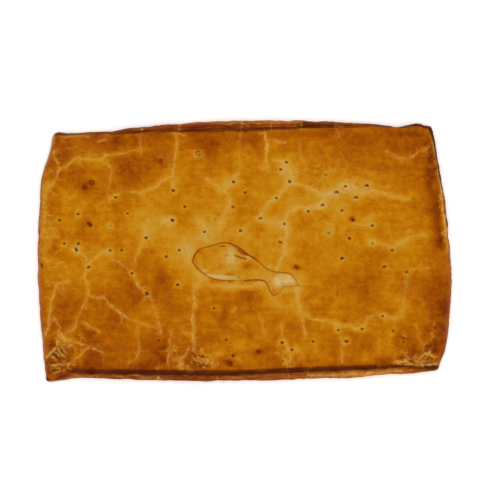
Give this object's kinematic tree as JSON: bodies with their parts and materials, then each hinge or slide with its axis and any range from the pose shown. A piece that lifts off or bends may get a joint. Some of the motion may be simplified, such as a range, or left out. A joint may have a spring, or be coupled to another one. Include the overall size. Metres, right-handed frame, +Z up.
{
  "type": "empanada",
  "caption": "Rectangular tray-baked empanada, an uncut savoury pie with rolled seams along its long sides, fork pricks and a dough fish on the egg-glazed lid.",
  "frame": {"origin": "On the surface the pie rests on, under the middle of its outline", "axes": "+X along the long side towards the tail of the dough fish, +Y across the pie towards the side that the fish's back faces, +Z up through the lid"},
  "size_m": [0.4012, 0.2532, 0.03],
  "materials": {
    "crust": "egg-glazed wheat crust, baked golden brown, semi-gloss",
    "fish": "egg-glazed wheat dough, baked a lighter gold, semi-gloss"
  },
  "bodies": {
    "root": {"crust": "crust", "fish": "fish"}
  },
  "joints": []
}
